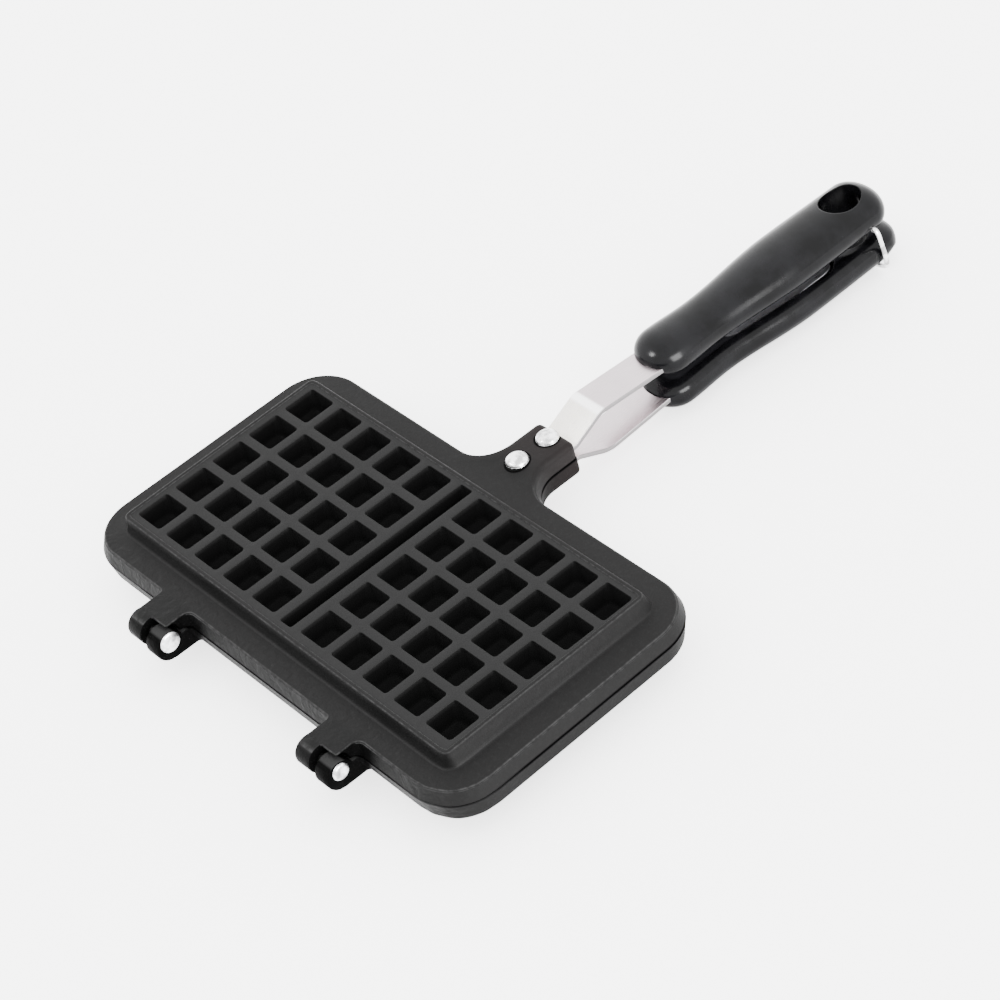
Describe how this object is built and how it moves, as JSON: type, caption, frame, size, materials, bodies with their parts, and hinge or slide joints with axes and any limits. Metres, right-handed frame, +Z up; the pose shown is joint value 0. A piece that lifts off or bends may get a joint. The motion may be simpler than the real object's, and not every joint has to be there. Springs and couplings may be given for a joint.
{
  "type": "stovetop waffle iron",
  "caption": "Hinged pair of cast waffle plates on long straps with moulded black handles and a wire bail that holds it shut on the hob.",
  "frame": {"origin": "under the middle of the closed iron's bounding box, at its lowest point, the bottom of the wire bail", "axes": "+Y from the hinge towards the handles' ends, +X along the hinge axis, +Z up through the closed plates"},
  "size_m": [0.2408, 0.3608, 0.0389],
  "materials": {
    "cast_plate": "dark satin coating on a rough casting",
    "strap_steel": "brushed",
    "rivet_metal": "bright, as set",
    "screw_steel": "plain",
    "insert_brass": "turned",
    "moulded_black": "glossy",
    "bail_wire": "drawn wire"
  },
  "bodies": {
    "lower_half": {"lower_plate": "cast_plate", "lower_strap": "strap_steel", "lower_handle": "moulded_black", "lower_rivet_inner": "rivet_metal", "lower_rivet_outer": "rivet_metal", "lower_tang_screw_front": "screw_steel", "lower_tang_screw_rear": "screw_steel", "lower_handle_insert_front": "insert_brass", "lower_handle_insert_rear": "insert_brass", "hinge_pin_left": "rivet_metal", "hinge_pin_right": "rivet_metal"},
    "upper_half": {"upper_plate": "cast_plate", "upper_strap": "strap_steel", "upper_handle": "moulded_black", "upper_rivet_inner": "rivet_metal", "upper_rivet_outer": "rivet_metal", "upper_tang_screw_front": "screw_steel", "upper_tang_screw_rear": "screw_steel", "upper_handle_insert_front": "insert_brass", "upper_handle_insert_rear": "insert_brass"},
    "bail": {"wire_bail": "bail_wire"}
  },
  "joints": [
    {"name": "plate_hinge", "type": "hinge", "parent": "lower_half", "child": "upper_half", "pos_m": [0.0021, -0.17375, 0.02], "axis": [1, 0, 0], "range_deg": [0, 180]},
    {"name": "bail_pivot", "type": "hinge", "parent": "upper_half", "child": "bail", "pos_m": [0, 0.16315, 0.0262], "axis": [1, 0, 0], "range_deg": [0, 210]}
  ]
}
